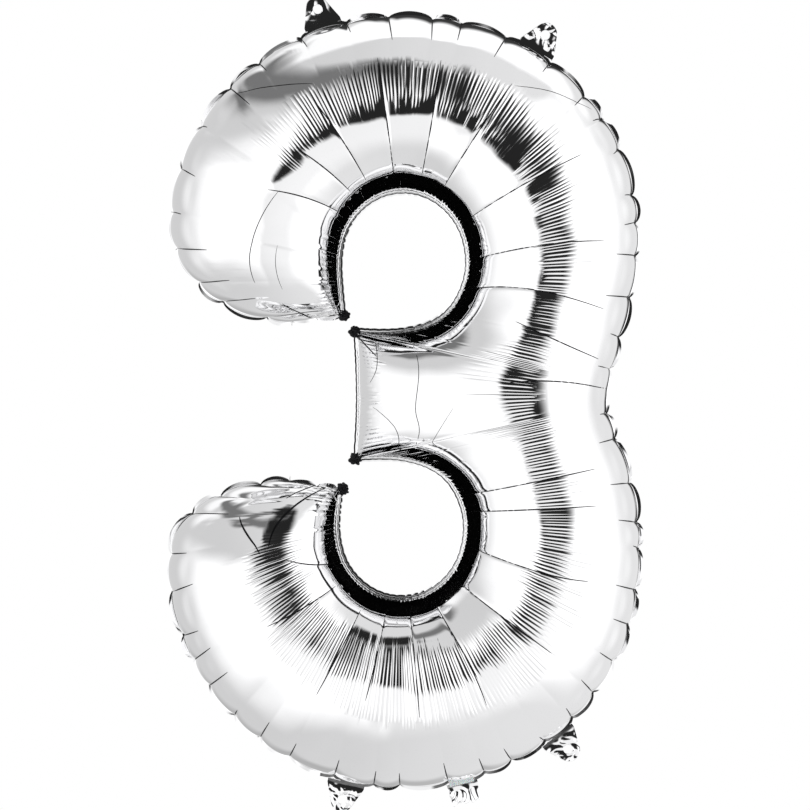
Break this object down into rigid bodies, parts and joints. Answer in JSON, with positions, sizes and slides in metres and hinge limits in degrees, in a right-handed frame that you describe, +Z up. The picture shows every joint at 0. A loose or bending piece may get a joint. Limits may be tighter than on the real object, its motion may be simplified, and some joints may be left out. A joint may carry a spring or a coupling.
{
  "type": "foil number balloon",
  "caption": "Inflated foil balloon in the shape of the figure 3, with a sealed flange, punched hanging tabs and a self-closing filling neck.",
  "frame": {"origin": "centre of the bounding box of the whole balloon with its tabs, in the plane of the seam", "axes": "+Z up to the top of the figure, +X to the right of someone who reads it from the front, +Y from the front to the back; the front faces -Y and the seam lies in the plane Y = 0"},
  "size_m": [0.532, 0.2002, 0.9042],
  "materials": {
    "foil": "vacuum metallised plastic film, silver, mirror bright, puckered along the seam",
    "valve_film": "thin milky polyethylene film"
  },
  "bodies": {
    "root": {"front_panel": "foil", "back_panel": "foil", "valve_throat": "valve_film"},
    "hang_tab_top_left": {"hang_tab_top_left_front": "foil", "hang_tab_top_left_back": "foil"},
    "hang_tab_top_right": {"hang_tab_top_right_front": "foil", "hang_tab_top_right_back": "foil"},
    "hang_tab_bottom_left": {"hang_tab_bottom_left_front": "foil", "hang_tab_bottom_left_back": "foil"},
    "hang_tab_bottom_right": {"hang_tab_bottom_right_front": "foil", "hang_tab_bottom_right_back": "foil"},
    "filling_neck": {"filling_neck_front": "foil", "filling_neck_back": "foil"},
    "valve_flap_front": {"valve_flap_front": "valve_film"},
    "valve_flap_back": {"valve_flap_back": "valve_film"}
  },
  "joints": [
    {"name": "hang_tab_top_left_fold", "type": "hinge", "parent": "root", "child": "hang_tab_top_left", "pos_m": [-0.09047, 0, 0.42206], "axis": [0.9483, 0, 0.3174], "range_deg": [-90, 90], "stiffness_Nm_per_rad": 0.002},
    {"name": "hang_tab_top_right_fold", "type": "hinge", "parent": "root", "child": "hang_tab_top_right", "pos_m": [0.14795, 0, 0.39512], "axis": [0.8498, 0, -0.5271], "range_deg": [-90, 90], "stiffness_Nm_per_rad": 0.002},
    {"name": "hang_tab_bottom_left_fold", "type": "hinge", "parent": "root", "child": "hang_tab_bottom_left", "pos_m": [-0.06455, 0, -0.42164], "axis": [-0.9724, 0, 0.2334], "range_deg": [-90, 90], "stiffness_Nm_per_rad": 0.002},
    {"name": "hang_tab_bottom_right_fold", "type": "hinge", "parent": "root", "child": "hang_tab_bottom_right", "pos_m": [0.17154, 0, -0.36914], "axis": [-0.7778, 0, -0.6285], "range_deg": [-90, 90], "stiffness_Nm_per_rad": 0.002},
    {"name": "filling_neck_fold", "type": "hinge", "parent": "root", "child": "filling_neck", "pos_m": [0.06454, 0, -0.42164], "axis": [-0.9724, 0, -0.2334], "range_deg": [-90, 90], "stiffness_Nm_per_rad": 0.002},
    {"name": "valve_flap_front_lift", "type": "hinge", "parent": "root", "child": "valve_flap_front", "pos_m": [0.06272, 0, -0.41406], "axis": [0.9724, 0, 0.2334], "range_deg": [0, 8], "stiffness_Nm_per_rad": 0.001},
    {"name": "valve_flap_back_lift", "type": "hinge", "parent": "root", "child": "valve_flap_back", "pos_m": [0.06272, 0, -0.41406], "axis": [0.9724, 0, 0.2334], "range_deg": [-8, 0]}
  ],
  "couplings": [
    {"joint": "valve_flap_back_lift", "follows": "valve_flap_front_lift", "ratio": -1}
  ]
}
